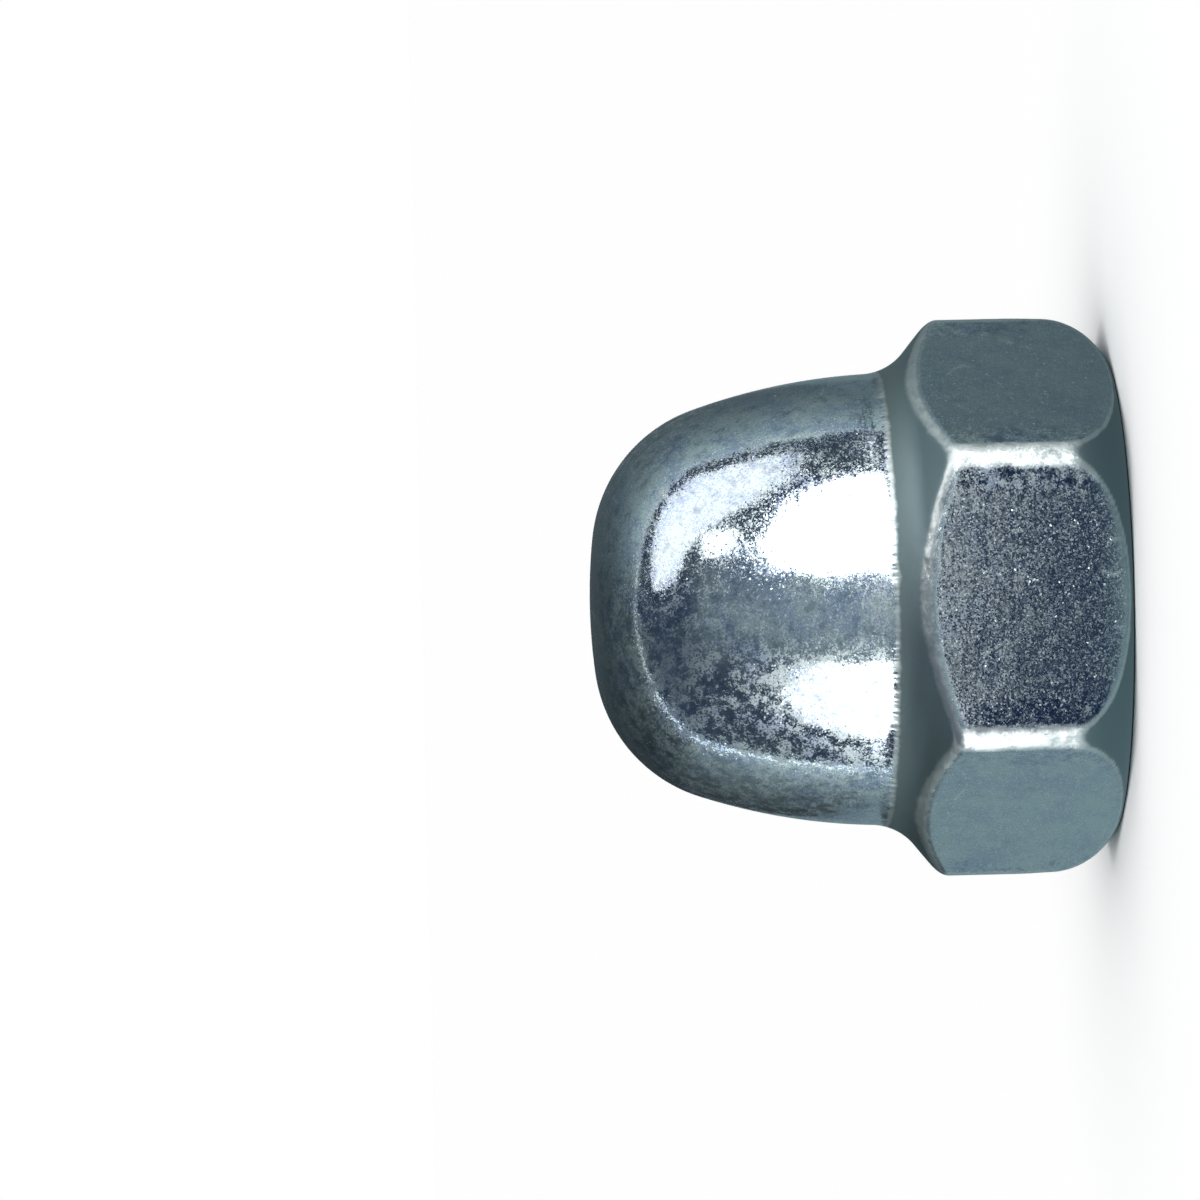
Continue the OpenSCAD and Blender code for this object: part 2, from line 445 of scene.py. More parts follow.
class Skin:
    """Collects rings of vertices from the dome's tip, round the foot and up the bore to its flat end."""

    def __init__(self, turns):
        self.turns = turns
        self.points = []
        self.faces = []
        self.marks = {name: [] for name in MARKS}
        self.count = 0

    def add(self, radius, height, **marks):
        """A block of rows, each given by its radius and height. Returns the index of each vertex, as rows
        by columns."""
        radius, height, turns = np.broadcast_arrays(radius, height, self.turns)
        block = np.stack([radius * np.cos(turns), radius * np.sin(turns), height], -1)
        self.points.append(block.reshape(-1, 3))
        for name, values in self.marks.items():
            values.append(np.broadcast_to(marks.get(name, 0.0), radius.shape).ravel())
        index = self.count + np.arange(radius.size).reshape(radius.shape)
        self.count += radius.size
        return index

    def join(self, index, shift=0):
        """Quads between neighbouring rows. Past the last column a row goes on in the row that lies shift
        further along, which is how a helix closes."""
        last = len(index) - 1
        beyond = index[np.minimum(np.arange(len(index)) + shift, last), 0]
        wide = np.column_stack([index, beyond])
        quads = np.stack([wide[:-1, :-1], wide[1:, :-1], wide[1:, 1:], wide[:-1, 1:]], -1)
        self.faces.append(quads.reshape(-1, 4))


def outer_rows(skin, sizes):
    """Outside, a point at angle t in row i lies at the smooth minimum of the outline's radius and the
    hexagon's radius, at the row's height. Returns the vertices' indices and the last row's place."""
    rows, reach, marks = outer_outline(sizes)
    outline = rows[:, :1]
    hexagon, corner = hexagon_radius(skin.turns, sizes)
    radius, near = smooth_min(outline, hexagon, reach)
    turned = smooth_step(-reach, reach, hexagon - outline)
    side_on = np.abs(np.sin(SIDES / 2 * skin.turns))
    index = skin.add(
        radius, rows[:, 1:],
        edge=np.maximum(smooth_step(*BLEND_FADE, near), corner * (1 - turned)),
        dull=marks["dull"] * turned,
        neck=marks["neck"],
        crease=marks["crease"],
        flat=(1 - turned) * smooth_step(*FLAT_FADE, side_on))
    return index, rows[-1]


def under_rows(skin, lip, bearing_edge, sizes, bore):
    """Under the foot the rows run in over the flat ring, in even steps, and round the lip. Wear falls off
    from both edges of the ring as a bell curve."""
    ring = line(bearing_edge, lip[0], ROWS["bearing"])[1:]
    outer_wear = np.exp(-((ring[:, :1] - bearing_edge[0]) / sizes.foot_wear) ** 2)
    inner_wear = np.exp(-((ring[:, :1] - lip[0, 0]) / bore.lip_wear) ** 2)
    bearing = skin.add(ring[:, :1], ring[:, 1:], flat=1.0, edge=np.maximum(outer_wear, LIP_MARK * inner_wear))
    mouth = skin.add(lip[1:, :1], lip[1:, 1:], edge=1.0, bore=LIP_BORE)
    return bearing, mouth


def thread_rows(skin, start, bore, per_turn):
    """In the bore the rows follow the thread's helix: row k stands k less the part of a turn still to
    come, in rows, above the countersink's edge, and is held between there and the wall's end. The radius
    is the larger of countersink and groove."""
    step = bore.pitch / per_turn
    most = (bore.depth - bore.end_cone - start) / step
    k = np.arange(math.ceil(most) + per_turn + 1)[:, None]
    climbed = np.clip(k - per_turn * (1 - skin.turns / TURN), 0, most)
    height = start + climbed * step
    cone = bore.minor / 2 + bore.mouth_step - height * math.tan(bore.mouth_angle)
    radius = smooth_max(cone, groove_radius(height, skin.turns, bore), bore.mouth_soft)
    return skin.add(radius, height, bore=1.0)


def end_rows(skin, bore):
    """A cone and a flat disc close the bore, with a centre mark whose depth is an S curve of the distance
    from its rim. Returns the vertices' indices and the last ring's height."""
    wall = bore.minor / 2
    edge = np.array([wall, bore.depth - bore.end_cone])
    corner = np.array([wall - bore.end_step, bore.depth])
    cone = line(edge, corner, ROWS["cone"])[1:]
    disc = line(corner, np.array([bore.dimple, bore.depth]), ROWS["end"])[1:]
    away = np.linspace(1, DIMPLE_CORE, ROWS["dimple"])[1:] * bore.dimple
    sunk = bore.depth + bore.dimple_depth * (1 - smooth_step(0, bore.dimple, away))
    rows = np.concatenate([cone, disc, np.stack([away, sunk], -1)])
    ribbed = END_RIBS * (rows[:, 1:] < bore.depth)
    return skin.add(rows[:, :1], rows[:, 1:], bore=1.0, crease=ribbed), sunk[-1]


def cap(ring, centre, outward):
    """Triangles from a ring of vertices to one in its middle."""
    after = np.roll(ring, -1)
    middle = np.full_like(ring, centre)
    return np.stack([middle, ring, after] if outward else [middle, after, ring], -1)


def nut_mesh(name, sizes, bore, counts):
    """The nut's closed skin as a mesh: rings of vertices from the dome's tip round to the bore's end, joined
    row by row, with a pole in the middle of the first and the last ring. Its marks are point attributes."""
    skin = Skin(column_angles(counts.columns))
    lip = lip_arc(bore)
    outside, bearing_edge = outer_rows(skin, sizes)
    bearing, mouth = under_rows(skin, lip, bearing_edge, sizes, bore)
    thread = thread_rows(skin, lip[-1, 1], bore, counts.thread_rows)
    closing, end_height = end_rows(skin, bore)
    skin.join(np.concatenate([outside, bearing, mouth]))
    skin.join(thread, shift=counts.thread_rows)
    skin.join(np.stack([mouth[-1], thread[0]]))
    skin.join(np.concatenate([thread[-1:], closing]))

    # The first pole lies at the dome's tip and the second in the bore
    poles = np.array([[0, 0, sizes.height], [0, 0, end_height]])
    points = np.concatenate([*skin.points, poles])
    quads = np.concatenate(skin.faces)
    tip = cap(outside[0], skin.count, True)
    end = cap(closing[-1], skin.count + 1, False)
    mesh = bpy.data.meshes.new(name)
    mesh.from_pydata(points.tolist(), [], quads.tolist() + tip.tolist() + end.tolist())
    for label, values in skin.marks.items():
        marks = np.concatenate([*values, [0.0, float(label == "bore")]])
        mesh.attributes.new(label, "FLOAT", "POINT").data.foreach_set("value", marks.astype(np.float32))
    work = bmesh.new()
    work.from_mesh(mesh)
    bmesh.ops.remove_doubles(work, verts=work.verts, dist=MERGE)
    bmesh.ops.dissolve_degenerate(work, edges=work.edges, dist=DISSOLVE)
    work.to_mesh(mesh)
    work.free()
    mesh.polygons.foreach_set("use_smooth", np.ones(len(mesh.polygons), bool))
    mesh.update()
    return mesh


# ------------------------------ finish


# The middle of a noise's range, about which it sways
MIDDLE = 0.5
# A crystal's lean grows with this power of its draw's length, so that most lean little and a few lean far
LEAN_POWER = 3.2
# The rings' noise is drawn out round the axis, and the hairlines' along them, by the inverse of these shares
RING_STRETCH = (0.08, 0.08, 1)
HAIR_STRETCH = (1, 0.03, 1)
# How rubbed the plate is along a hairline, and how rough it is in the middle of a pit
HAIR_WEAR = 0.7
PIT_ROUGHNESS = 0.5


def add(tree, kind, inputs=None, **settings):
    """Adds a shader node. An input is given by its name or place, as a value to set, as a socket to link or
    as a node whose first output is linked. A Mix node has its share at place 0, its two numbers at 2 and
    3, and its two colours at 6 and 7."""
    node = tree.nodes.new("ShaderNode" + kind)
    for name, value in settings.items():
        setattr(node, name, value)
    for key, value in (inputs or {}).items():
        source = value.outputs[0] if isinstance(value, bpy.types.Node) else value
        if isinstance(source, bpy.types.NodeSocket):
            tree.links.new(source, node.inputs[key])
        else:
            node.inputs[key].default_value = source
    return node


def cleared(owner):
    """The node tree of a material or a world, with nothing in it."""
    owner.use_nodes = True
    owner.node_tree.nodes.clear()
    return owner.node_tree


def per_metre(size):
    """A noise's scale for features of that size."""
    return 1 / size


def leaning_normal(tree, finish, place, mark, draw, size, clouds, scuffs):
    """The normal, leant in five ways. Each crystal leans along its random draw, by a power of the draw's
    length times the clouds' strength times the lean of its place. The slow ripple of the formed surface,
    the short ribs that run straight out from the axis across the crease and the cone at the bore's end,
    and the lumps that knocks have left on edges sway it both ways. Faint rings round the axis tip it up
    and down."""
    strength = add(tree, "MapRange", {
        "Value": clouds, "From Min": 0.38, "From Max": 0.62, "To Min": 0.55, "To Max": 1.35})
    most = add(tree, "Math", {0: mark["flat"], 1: mark["edge"]}, operation="MAXIMUM")
    most = add(tree, "Mix", {0: most, 2: finish.dome_lean, 3: finish.flat_lean})
    much = add(tree, "Math", {0: size, 1: LEAN_POWER}, operation="POWER")
    much = add(tree, "Math", {0: much, 1: strength}, operation="MULTIPLY")
    much = add(tree, "Math", {0: much, 1: most}, operation="MULTIPLY")
    lean = add(tree, "VectorMath", {0: draw, "Scale": much}, operation="SCALE")

    wave = add(tree, "TexNoise", {"Vector": place, "Scale": per_metre(finish.wave), "Detail": 2.0})
    outward = add(tree, "VectorMath", {0: place, 1: (1, 1, 0)}, operation="MULTIPLY")
    outward = add(tree, "VectorMath", {0: outward}, operation="NORMALIZE")
    ribs = add(tree, "TexNoise", {
        "Vector": outward, "Scale": finish.rib_reach * per_metre(finish.rib), "Detail": 3.0})
    slow = add(tree, "Mix", {0: mark["flat"], 2: finish.ripple, 3: finish.flat_ripple})
    dragged = add(tree, "Math", {0: mark["crease"], 1: finish.rib_lean}, operation="MULTIPLY")
    knocked = add(tree, "Math", {0: mark["edge"], 1: finish.knock_lean}, operation="MULTIPLY")
    for noise, amount in ((wave, slow), (ribs, dragged), (scuffs, knocked)):
        sway = add(tree, "VectorMath", {0: noise.outputs["Color"], 1: [MIDDLE] * 3}, operation="SUBTRACT")
        sway = add(tree, "VectorMath", {0: sway, "Scale": amount}, operation="SCALE")
        lean = add(tree, "VectorMath", {0: lean, 1: sway}, operation="ADD")

    squeezed = add(tree, "VectorMath", {0: place, 1: RING_STRETCH}, operation="MULTIPLY")
    rings = add(tree, "TexNoise", {"Vector": squeezed, "Scale": per_metre(finish.line), "Detail": 1.0})
    ring = add(tree, "Math", {0: rings, 1: MIDDLE}, operation="SUBTRACT")
    ring = add(tree, "VectorMath", {0: (0, 0, finish.ring_lean), "Scale": ring}, operation="SCALE")
    lean = add(tree, "VectorMath", {0: lean, 1: ring}, operation="ADD")
    normal = add(tree, "NewGeometry").outputs["Normal"]
    tilted = add(tree, "VectorMath", {0: normal, 1: lean}, operation="ADD")
    return add(tree, "VectorMath", {0: tilted}, operation="NORMALIZE")


def rubbed_share(tree, finish, place, mark, scuffs):
    """How rubbed the plate is. Edges and the crease are worn, with a ragged border because the scuffs' noise
    is added to them. Hairline scratches are the contour lines of a long, slanting noise, kept only here
    and there off the formed surfaces."""
    creased = add(tree, "Math", {0: mark["crease"], 1: finish.crease_wear}, operation="MULTIPLY")
    worn = add(tree, "Math", {0: mark["edge"], 1: creased}, operation="MAXIMUM")
    worn = add(tree, "Math", {0: worn, 1: scuffs}, operation="ADD")
    worn = add(tree, "MapRange", {"Value": worn, "From Min": 0.75, "From Max": 1.4})

    slanted = add(tree, "Mapping", {"Vector": place, "Rotation": finish.hair_turn, "Scale": HAIR_STRETCH})
    hairs = add(tree, "TexNoise", {"Vector": slanted, "Scale": per_metre(finish.hair), "Detail": 0.0})
    off = add(tree, "Math", {0: hairs, 1: MIDDLE}, operation="SUBTRACT")
    off = add(tree, "Math", {0: off}, operation="ABSOLUTE")
    hairline = add(tree, "MapRange", {"Value": off, "From Max": 0.02, "To Min": HAIR_WEAR, "To Max": 0.0})
    here = add(tree, "MapRange", {"Value": scuffs, "From Min": 0.48, "From Max": 0.6})
    here = add(tree, "Mix", {0: mark["dull"], 2: here, 3: 0.0})
    hairline = add(tree, "Math", {0: hairline, 1: here}, operation="MULTIPLY")
    return add(tree, "Math", {0: worn, 1: hairline}, operation="MAXIMUM")


def hazy_share(tree, finish, place, mark, crystals, mottle):
    """How hazy each crystal is. The mottling sets the share of hazy ones, which drifts widely and is smaller
    on the flats, and a random draw for each crystal is held against that share."""
    share = add(tree, "MapRange", {
        "Value": mottle, "From Min": 0.44, "From Max": 0.58, "To Max": finish.most_haze})
    moved = add(tree, "Mapping", {"Vector": place, "Location": finish.spread_move})
    spread = add(tree, "TexNoise", {"Vector": moved, "Scale": per_metre(finish.spread), "Detail": 1.0})
    spread = add(tree, "MapRange", {"Value": spread, "From Min": 0.4, "From Max": 0.55, "To Min": 0.25})
    fewer = add(tree, "Mix", {0: mark["flat"], 2: spread, 3: finish.flat_haze})
    share = add(tree, "Math", {0: share, 1: fewer}, operation="MULTIPLY")
    chance = add(tree, "TexWhiteNoise", {"Vector": crystals.outputs["Position"]})
    ahead = add(tree, "Math", {0: share, 1: chance}, operation="SUBTRACT")
    return add(tree, "MapRange", {"Value": ahead, "From Min": -0.45, "From Max": 0.35})


def plate_colour(tree, finish, mark, size, clouds, mottle, worn):
    """Clean plate, tinted in turn by the film, the dark spots, the dulling of formed surfaces with some
    painted shade, the painted shade and darker passivate in the neck fillet, the rubbing and the bore's
    passivate. The film is thick on crystals whose draw is short, on more of them where it is cloudy, and
    spots lie where the mottling is low."""
    cloudy = add(tree, "MapRange", {
        "Value": clouds, "From Min": 0.4, "From Max": 0.6, "To Min": 0.1, "To Max": 0.8})
    thick = add(tree, "Math", {0: cloudy, 1: size}, operation="SUBTRACT")
    thick = add(tree, "MapRange", {"Value": thick, "From Min": -0.6, "From Max": -0.2})
    film = add(tree, "Mix", {0: mark["flat"], 2: finish.dome_film, 3: finish.flat_film})
    film = add(tree, "Math", {0: thick, 1: film}, operation="MULTIPLY")
    spotty = add(tree, "MapRange", {
        "Value": mottle, "From Min": 0.38, "From Max": 0.47, "To Min": 1.0, "To Max": 0.0})
    spots = add(tree, "Mix", {0: mark["flat"], 2: finish.dome_spots, 3: finish.flat_spots})
    spots = add(tree, "Math", {0: spotty, 1: spots}, operation="MULTIPLY")
    shade = (*finish.zinc, 1)
    # The formed and neck tints darken the plate as painted shade round the neck, besides the film, spot,
    # rubbed and bore tints
    for share, tint in (
            (film, finish.film), (spots, finish.spot), (mark["dull"], finish.formed),
            (mark["neck"], finish.neck_shade_and_stain), (worn, finish.rubbed), (mark["bore"], finish.bore)):
        shade = add(tree, "Mix", {0: share, 6: shade, 7: (*tint, 1)}, data_type="RGBA").outputs[2]
    return shade


def plate_roughness(tree, finish, place, mark, hazy, worn):
    """Clear and hazy crystals side by side, then the even roughness of formed surfaces, the neck, rubbed
    edges and the bore, and fine dull pits over all of them."""
    clear = add(tree, "Mix", {0: mark["flat"], 2: finish.roughness, 3: finish.flat_roughness})
    rough = add(tree, "Mix", {0: hazy, 2: clear, 3: finish.haze})
    for share, even in (
            (mark["dull"], finish.formed_roughness), (mark["neck"], finish.neck_roughness),
            (worn, finish.edge_roughness), (mark["bore"], finish.bore_roughness)):
        rough = add(tree, "Mix", {0: share, 2: rough, 3: even})
    pits = add(tree, "TexVoronoi", {"Vector": place, "Scale": per_metre(finish.pit)})
    pitted = add(tree, "MapRange", {
        "Value": pits.outputs["Distance"], "From Min": 0.05, "From Max": 0.1,
        "To Min": PIT_ROUGHNESS, "To Max": 0.0})
    return add(tree, "Math", {0: rough, 1: pitted}, operation="MAXIMUM")


def zinc_material(finish):
    """Zinc electroplate with a clear blue passivate, on cold formed steel.

    Bright plate mirrors what is round it. Its crystals lean at random, most of them a little and a few a
    lot, so a dark reflection is sprinkled with bright points and the edge of a bright one breaks up. Clear
    and hazy crystals lie side by side, in patches. The passivate lies on some crystals as a violet-blue
    film and has left small dark spots. The die has left a slow ripple, faint rings and short ribs. Edges
    and the crease are rubbed brighter and duller, and edges are lumpy from knocks.
    """
    material = bpy.data.materials.new("zinc_electroplate_blue_passivate")
    tree = cleared(material)
    place = add(tree, "TexCoord").outputs["Object"]
    mark = {name: add(tree, "Attribute", attribute_name=name).outputs["Fac"] for name in MARKS}

    # Each crystal's draw is a random vector, from -1 to 1 along each axis. Real crystals are too fine to
    # show, so these are drawn coarser.
    crystals = add(tree, "TexVoronoi", {"Vector": place, "Scale": per_metre(finish.grain)})
    draw = add(tree, "VectorMath", {
        0: crystals.outputs["Color"], 1: (2, 2, 2), 2: (-1, -1, -1)}, operation="MULTIPLY_ADD")
    size = add(tree, "VectorMath", {0: draw}, operation="LENGTH").outputs["Value"]
    clouds = add(tree, "TexNoise", {
        "Vector": place, "Scale": per_metre(finish.cloud), "Detail": 6.0, "Roughness": 0.68,
        "Distortion": 0.3})
    scuffs = add(tree, "TexNoise", {
        "Vector": place, "Scale": per_metre(finish.scuff), "Detail": 4.0, "Roughness": 0.7})
    mottle = add(tree, "TexNoise", {
        "Vector": place, "Scale": per_metre(finish.mottle), "Detail": 5.0, "Roughness": 0.75})

    worn = rubbed_share(tree, finish, place, mark, scuffs)
    hazy = hazy_share(tree, finish, place, mark, crystals, mottle)
    shader = add(tree, "BsdfPrincipled", {
        "Base Color": plate_colour(tree, finish, mark, size, clouds, mottle, worn),
        "Metallic": 1.0,
        "Roughness": plate_roughness(tree, finish, place, mark, hazy, worn),
        "Normal": leaning_normal(tree, finish, place, mark, draw, size, clouds, scuffs)})
    add(tree, "OutputMaterial", {"Surface": shader})
    return material


# ------------------------------ stage


# The stage is laid out in degrees. Azimuth turns from the camera's side towards +X. Each softbox is a strip
# between two lines, whose points are azimuths and elevations.
SOFTBOXES = {
    "right": (
        ((12, 12), (18, 21), (28, 24), (43, 20), (62, 11)),
        ((14, -9), (24, -9), (38, -9), (52, -9), (72, -9))),
    "over": (
        ((85, 10), (87, 28), (89, 47), (80, 66), (24, 76)),
        ((72, 12), (64, 16), (52, 27), (40, 41), (16, 59))),
    "left": (
        ((-31, 12), (-38, 18), (-52, 18), (-64, 14), (-75, 2)),
        ((-31, -9), (-40, -9), (-52, -9), (-64, -9), (-75, -9))),
    "window": (
        ((29, 34), (46, 33)),
        ((28, 28), (45, 27))),
}

# The mat's rings in millimetres from the axis, before the last one under the tent, and its columns' step
MAT_RINGS = (0, 12, 15, 18, 22, 40, 90, 100)
MAT_STEP = 3
# Within this distance from the axis the mat is teal-grey all round
MAT_CORE = 13 * MM
# The mat lies this far over the floor
MAT_LIFT = 0.05 * MM
# How much lighter the teal-grey mat is at the left, and darker at the right
MAT_LEFTWARD = 0.35
# Azimuths over which each stretch of the mat fades in and out
MAT_FRONT = ((-40, -25), (10, 22))
MAT_RIGHT = ((10, 16), (82, 94))
MAT_LEFT = ((-94, -82), (-32, -26))

# The step of the tent's rings and columns
TENT_STEP = 4
# The tent's angles run from the camera's side to the back. Its seam and half the seam's width, with the
# width over which the seam fades, and the angles over which the front grows dim
SEAM_AT = 96.0
SEAM_HALF = 1.0
SEAM_FADE = 0.9
FRONT_FADE = (8, 58)
# Behind the seam the light fades with this angle, and overhead it has this share
LIT_DECAY = 18
LIT_OVERHEAD = 0.12
# Angles over the nut, from the right side to the left, over which the light behind the seam ends at the
# right and starts at the left, and over which the seam grows brighter
RIGHT_END = (60, 92)
LEFT_START = (140, 172)
SEAM_GROWS = (105, 150)
# How much lighter the tent's back is at the right, and darker at the left
BACK_RIGHTWARD = 0.5

# The camera's sensor is 36 mm wide, and it sees from the first of these distances to the second
SENSOR_WIDTH = 36
CLIP = (10 * MM, 10)


def plain_material(name, kind, settings):
    """A material of one shader."""
    material = bpy.data.materials.new(name)
    tree = cleared(material)
    add(tree, "OutputMaterial", {"Surface": add(tree, kind, settings)})
    return material


def card_material():
    """Dim studio card. It glows faintly in its own colour, so that its tone doesn't hang on the lamps."""
    material = bpy.data.materials.new("dim_studio_card")
    tree = cleared(material)
    shade = add(tree, "Attribute", attribute_name="shade")
    glow = add(tree, "Emission", {"Color": shade.outputs["Color"], "Strength": 1.0})
    add(tree, "OutputMaterial", {"Surface": glow})
    return material


def place_object(name, data):
    """Links a new object that holds the data, at the origin."""
    thing = bpy.data.objects.new(name, data)
    bpy.context.scene.collection.objects.link(thing)
    return thing


def grid_mesh(name, points):
    """A grid of points as a mesh. Neither rows nor columns close."""
    rows, columns = points.shape[:2]
    index = np.arange(rows * columns).reshape(rows, columns)
    quads = np.stack([index[:-1, :-1], index[:-1, 1:], index[1:, 1:], index[1:, :-1]], -1)
    mesh = bpy.data.meshes.new(name)
    mesh.from_pydata(points.reshape(-1, 3).tolist(), [], quads.reshape(-1, 4).tolist())
    return mesh


def shaded_mesh(name, points, shade):
    """A grid of points as a mesh whose points carry a colour."""
    mesh = grid_mesh(name, points)
    rgba = np.concatenate([shade, np.ones((*points.shape[:2], 1))], -1)
    mesh.attributes.new("shade", "FLOAT_COLOR", "POINT").data.foreach_set("color", rgba.ravel())
    return mesh


def blend(a, b, share):
    """From a to b by a share, as colours of an array of points."""
    return np.asarray(a) + (np.asarray(b) - np.asarray(a)) * share[..., None]


def between(rise, fall, x):
    """One from the end of the rise to the start of the fall, nought outside both, with S curves between."""
    return smooth_step(*rise, x) * (1 - smooth_step(*fall, x))


def softbox_mesh(name, light, middle, lines):
    """A strip round the nut's middle. A point at azimuth a and elevation e lies at the reach times
    (sin a cos e, -cos a cos e, sin e)."""
    azimuth, elevation = np.moveaxis(np.radians(lines), -1, 0)
    level_out = np.cos(elevation)
    out = np.stack([np.sin(azimuth) * level_out, -np.cos(azimuth) * level_out, np.sin(elevation)], -1)
    return grid_mesh(name, middle + light.reach * out)


def mat_mesh(light):
    """The mat on the floor: rings round the axis. By its azimuth it is navy in front, white under the two
    low softboxes from where they begin, and teal-grey at the sides and behind, lighter on the left. Close
    to the nut it is teal-grey all round, and in front it is white again past its reach. These borders are
    as soft as the rings are apart."""
    degrees = np.arange(-180, 181, MAT_STEP)
    radius = np.array([*MAT_RINGS, light.tent_radius / MM])[:, None] * MM
    degrees, away = np.broadcast_arrays(degrees, radius)
    turns = np.radians(degrees)
    points = np.stack([away * np.sin(turns), -away * np.cos(turns), np.full_like(away, MAT_LIFT)], -1)
    front = between(*MAT_FRONT, degrees)
    right = between(*MAT_RIGHT, degrees)
    left = between(*MAT_LEFT, degrees)
    bounced = away > light.bounce_start
    shade = np.asarray(light.rear_card) * (1 - MAT_LEFTWARD * np.sin(turns))[..., None]
    shade = blend(shade, light.front_mat, front * (away > MAT_CORE))
    shade = blend(shade, 1.0, front * (away > light.mat_radius))
    shade = blend(shade, light.right_bounce, right * bounced)
    shade = blend(shade, light.left_bounce, left * bounced)
    return shaded_mesh("mat", points, shade)


def tent_mesh(light):
    """The tent: half rings round the level line from the camera's side to the back. By its angle from the
    camera's side it is blue-grey, then dim, then a light seam just behind the nut, brighter at the left.
    Past the seam it is lit at both sides, less overhead, and that light falls off exponentially towards
    the dark back."""
    even = np.arange(0, 181, TENT_STEP)
    seam = SEAM_AT + np.array([-SEAM_HALF - SEAM_FADE, -SEAM_HALF, SEAM_HALF, SEAM_HALF + SEAM_FADE])
    rings = np.concatenate([even[even < seam[0] - TENT_STEP], seam, even[even > seam[-1]]])
    away, turned = np.broadcast_arrays(rings[:, None], even)
    polar, over = np.radians(away), np.radians(turned)
    points = light.tent_radius * np.stack(
        [np.sin(polar) * np.cos(over), -np.cos(polar), np.sin(polar) * np.sin(over)], -1)
    sides = 1 - smooth_step(*RIGHT_END, turned) + smooth_step(*LEFT_START, turned)
    lit = np.exp(-np.clip(away - SEAM_AT, 0, None) / LIT_DECAY) * (LIT_OVERHEAD + (1 - LIT_OVERHEAD) * sides)
    dark = np.asarray(light.dark_card) * (1 + BACK_RIGHTWARD * np.cos(over))[..., None]
    rear = blend(dark, light.lit_card, lit)
    front = blend(light.front_card, light.shade_card, smooth_step(*FRONT_FADE, away))
    shade = np.where((away > SEAM_AT)[..., None], rear, front)
    seam_light = np.asarray(light.seam) * (1 + light.seam_gain * smooth_step(*SEAM_GROWS, turned))[..., None]
    off_seam = np.abs(away - SEAM_AT)
    shade = blend(shade, seam_light, 1 - smooth_step(SEAM_HALF, SEAM_HALF + SEAM_FADE, off_seam))
    return shaded_mesh("tent", points, shade)


def stage_card(name, mesh, material):
    """Stages a card that shows in reflections alone: it throws no shadow and no light on the floor."""
    mesh.materials.append(material)
    card = place_object(name, mesh)
    card.visible_camera = False
    card.visible_diffuse = False
    card.visible_shadow = False


def world_white():
    """A white background for the camera, for reflections and for what is seen through glass."""
    world = bpy.data.worlds.new("white_backdrop")
    bpy.context.scene.world = world
    tree = cleared(world)
    ray = add(tree, "LightPath").outputs
    seen = add(tree, "Math", {0: ray["Is Camera Ray"], 1: ray["Is Glossy Ray"]}, operation="ADD")
    seen = add(tree, "Math", {0: seen, 1: ray["Is Transmission Ray"]}, operation="ADD", use_clamp=True)
    white = add(tree, "Background", {"Color": (1, 1, 1, 1), "Strength": seen})
    add(tree, "OutputWorld", {"Surface": white})


def stage_camera(light, middle):
    """A long lens at the side of the nut, slightly above it and turned so that the dome points left. The
    lens lies back from the nut's middle by its distance, and aside so that the nut is off the picture's
    middle."""
    lens = bpy.data.cameras.new("camera")
    lens.sensor_width = SENSOR_WIDTH
    lens.lens = SENSOR_WIDTH * light.camera_distance / light.picture_width
    lens.clip_start, lens.clip_end = CLIP
    camera = place_object("camera", lens)
    down = light.camera_elevation - math.atan(light.aside / light.camera_distance)
    roll = light.camera_roll
    ahead = Vector((0, math.cos(down), -math.sin(down)))
    across = Vector((0, -math.sin(down), -math.cos(down)))
    level_up = Vector((1, 0, 0))
    right = across * math.cos(roll) - level_up * math.sin(roll)
    up = level_up * math.cos(roll) + across * math.sin(roll)
    place = Vector(middle) - right * light.aside - ahead * light.camera_distance
    camera.matrix_world = Matrix((
        (right.x, up.x, -ahead.x, place.x),
        (right.y, up.y, -ahead.y, place.y),
        (right.z, up.z, -ahead.z, place.z),
        (0, 0, 0, 1)))
    bpy.context.scene.camera = camera


# ------------------------------ operators


class CAPNUT_OT_nut(bpy.types.Operator):
    """Builds the nut with its thread and its zinc finish"""

    bl_idname = "capnut.nut"
    bl_label = "Cap nut"

    def execute(self, context):
        scene = context.scene
        mesh = nut_mesh("cap_nut_skin", scene.nut_sizes, scene.nut_bore, scene.nut_counts)
        nut = place_object("cap_nut_skin", mesh)
        mesh.materials.append(zinc_material(scene.nut_finish))
        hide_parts(NODE)
        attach(nut, BODY)
        return {"FINISHED"}


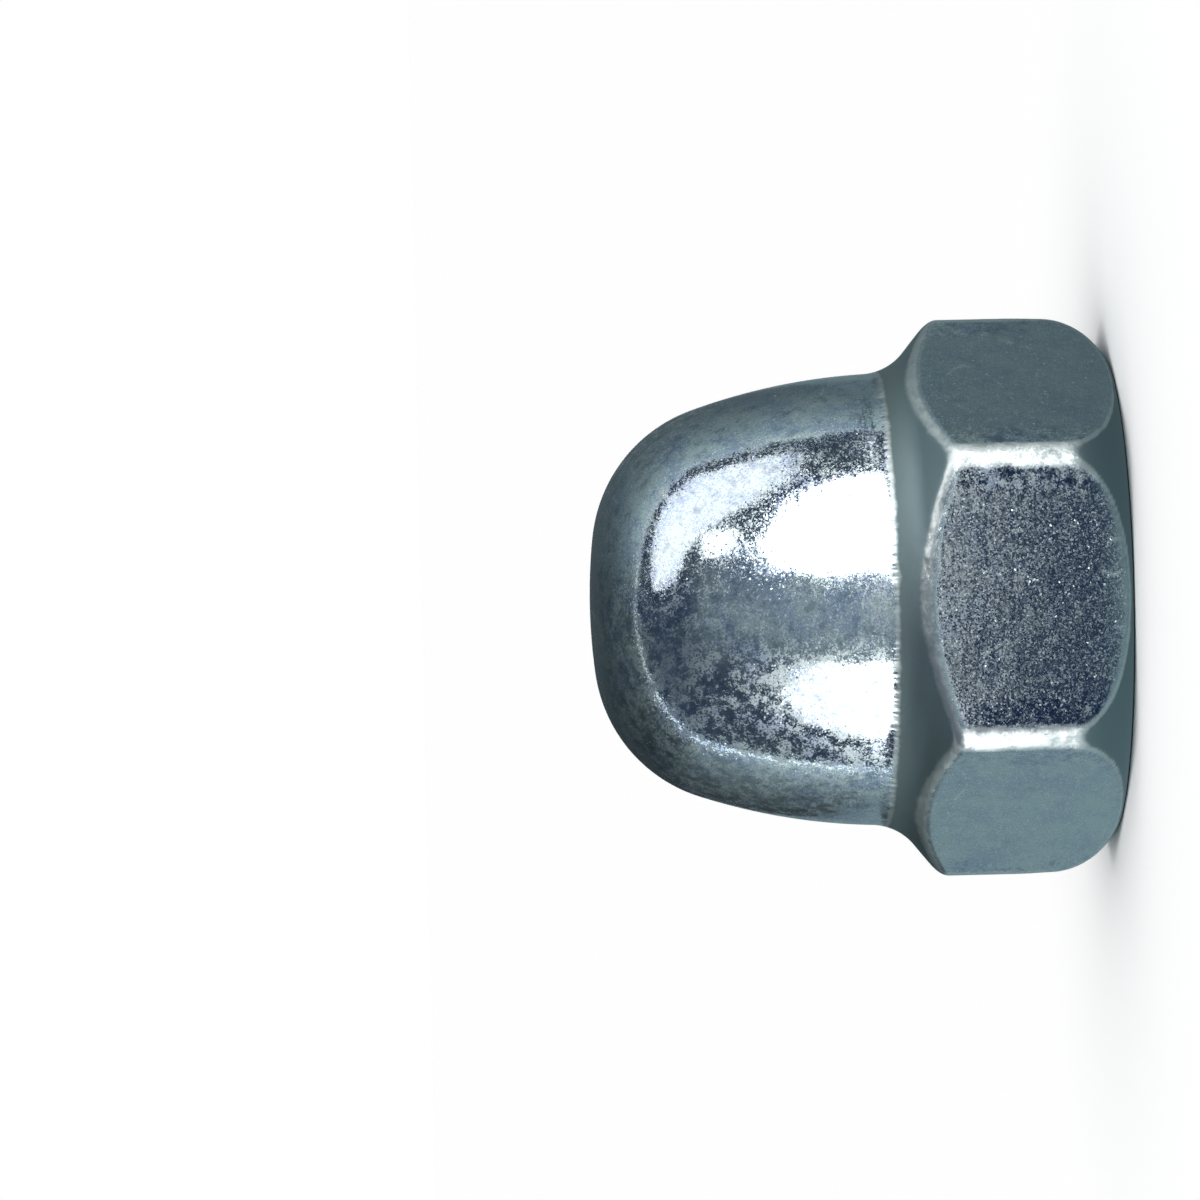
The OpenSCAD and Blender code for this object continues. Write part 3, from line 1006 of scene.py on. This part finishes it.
class CAPNUT_OT_stage(bpy.types.Operator):
    """Sets the floor, the cards, the softboxes, the white backdrop and the camera"""

    bl_idname = "capnut.stage"
    bl_label = "Studio"

    def execute(self, context):
        scene = context.scene
        light = scene.nut_light
        scene.view_settings.view_transform = "Standard"
        middle = np.array([0, 0, scene.nut_sizes.height / 2])

        half = light.floor_width / 2
        corners = [(-half, -half, 0), (half, -half, 0), (half, half, 0), (-half, half, 0)]
        paper = bpy.data.meshes.new("floor")
        paper.from_pydata(corners, [], [(0, 1, 2, 3)])
        paper.materials.append(plain_material("pale_paper", "BsdfDiffuse", {"Color": (*light.floor, 1)}))
        floor = place_object("floor", paper)

        dim = card_material()
        stage_card("mat", mat_mesh(light), dim)
        stage_card("tent", tent_mesh(light), dim)
        for side, lines in SOFTBOXES.items():
            name = side + "_softbox"
            glow = plain_material(name, "Emission", {"Strength": getattr(light, side + "_level")})
            stage_card(name, softbox_mesh(name, light, middle, lines), glow)

        sky = bpy.data.lights.new("overhead_sky", "SUN")
        sky.energy = light.sky_level
        sky.angle = light.sky_width
        above = place_object("overhead_sky", sky)
        above.visible_glossy = False
        world_white()
        stage_camera(light, middle)
        return {"FINISHED"}


class CAPNUT_PT_panel(bpy.types.Panel):
    """Lists the steps and the sizes"""

    bl_label = "Cap nut"
    bl_idname = "CAPNUT_PT_panel"
    bl_space_type = "VIEW_3D"
    bl_region_type = "UI"
    bl_category = "Cap nut"

    def draw(self, context):
        for step in STEPS:
            self.layout.operator(step.bl_idname)
        for group, properties in GROUPS.items():
            box = self.layout.box()
            for name in properties.__annotations__:
                box.prop(getattr(context.scene, group), name)


STEPS = (CAPNUT_OT_nut, CAPNUT_OT_stage)
GROUPS = {
    "nut_sizes": NutSizes,
    "nut_bore": BoreSizes,
    "nut_counts": MeshCounts,
    "nut_finish": ZincFinish,
    "nut_light": StudioLight,
}
CLASSES = (*GROUPS.values(), *STEPS, CAPNUT_PT_panel)


def register():
    for each in CLASSES:
        bpy.utils.register_class(each)
    for name, group in GROUPS.items():
        setattr(bpy.types.Scene, name, PointerProperty(type=group))


def unregister():
    for name in GROUPS:
        delattr(bpy.types.Scene, name)
    for each in reversed(CLASSES):
        bpy.utils.unregister_class(each)


def main():
    register()
    bpy.ops.capnut.nut()
    bpy.ops.capnut.stage()


if __name__ == "__main__":
    main()
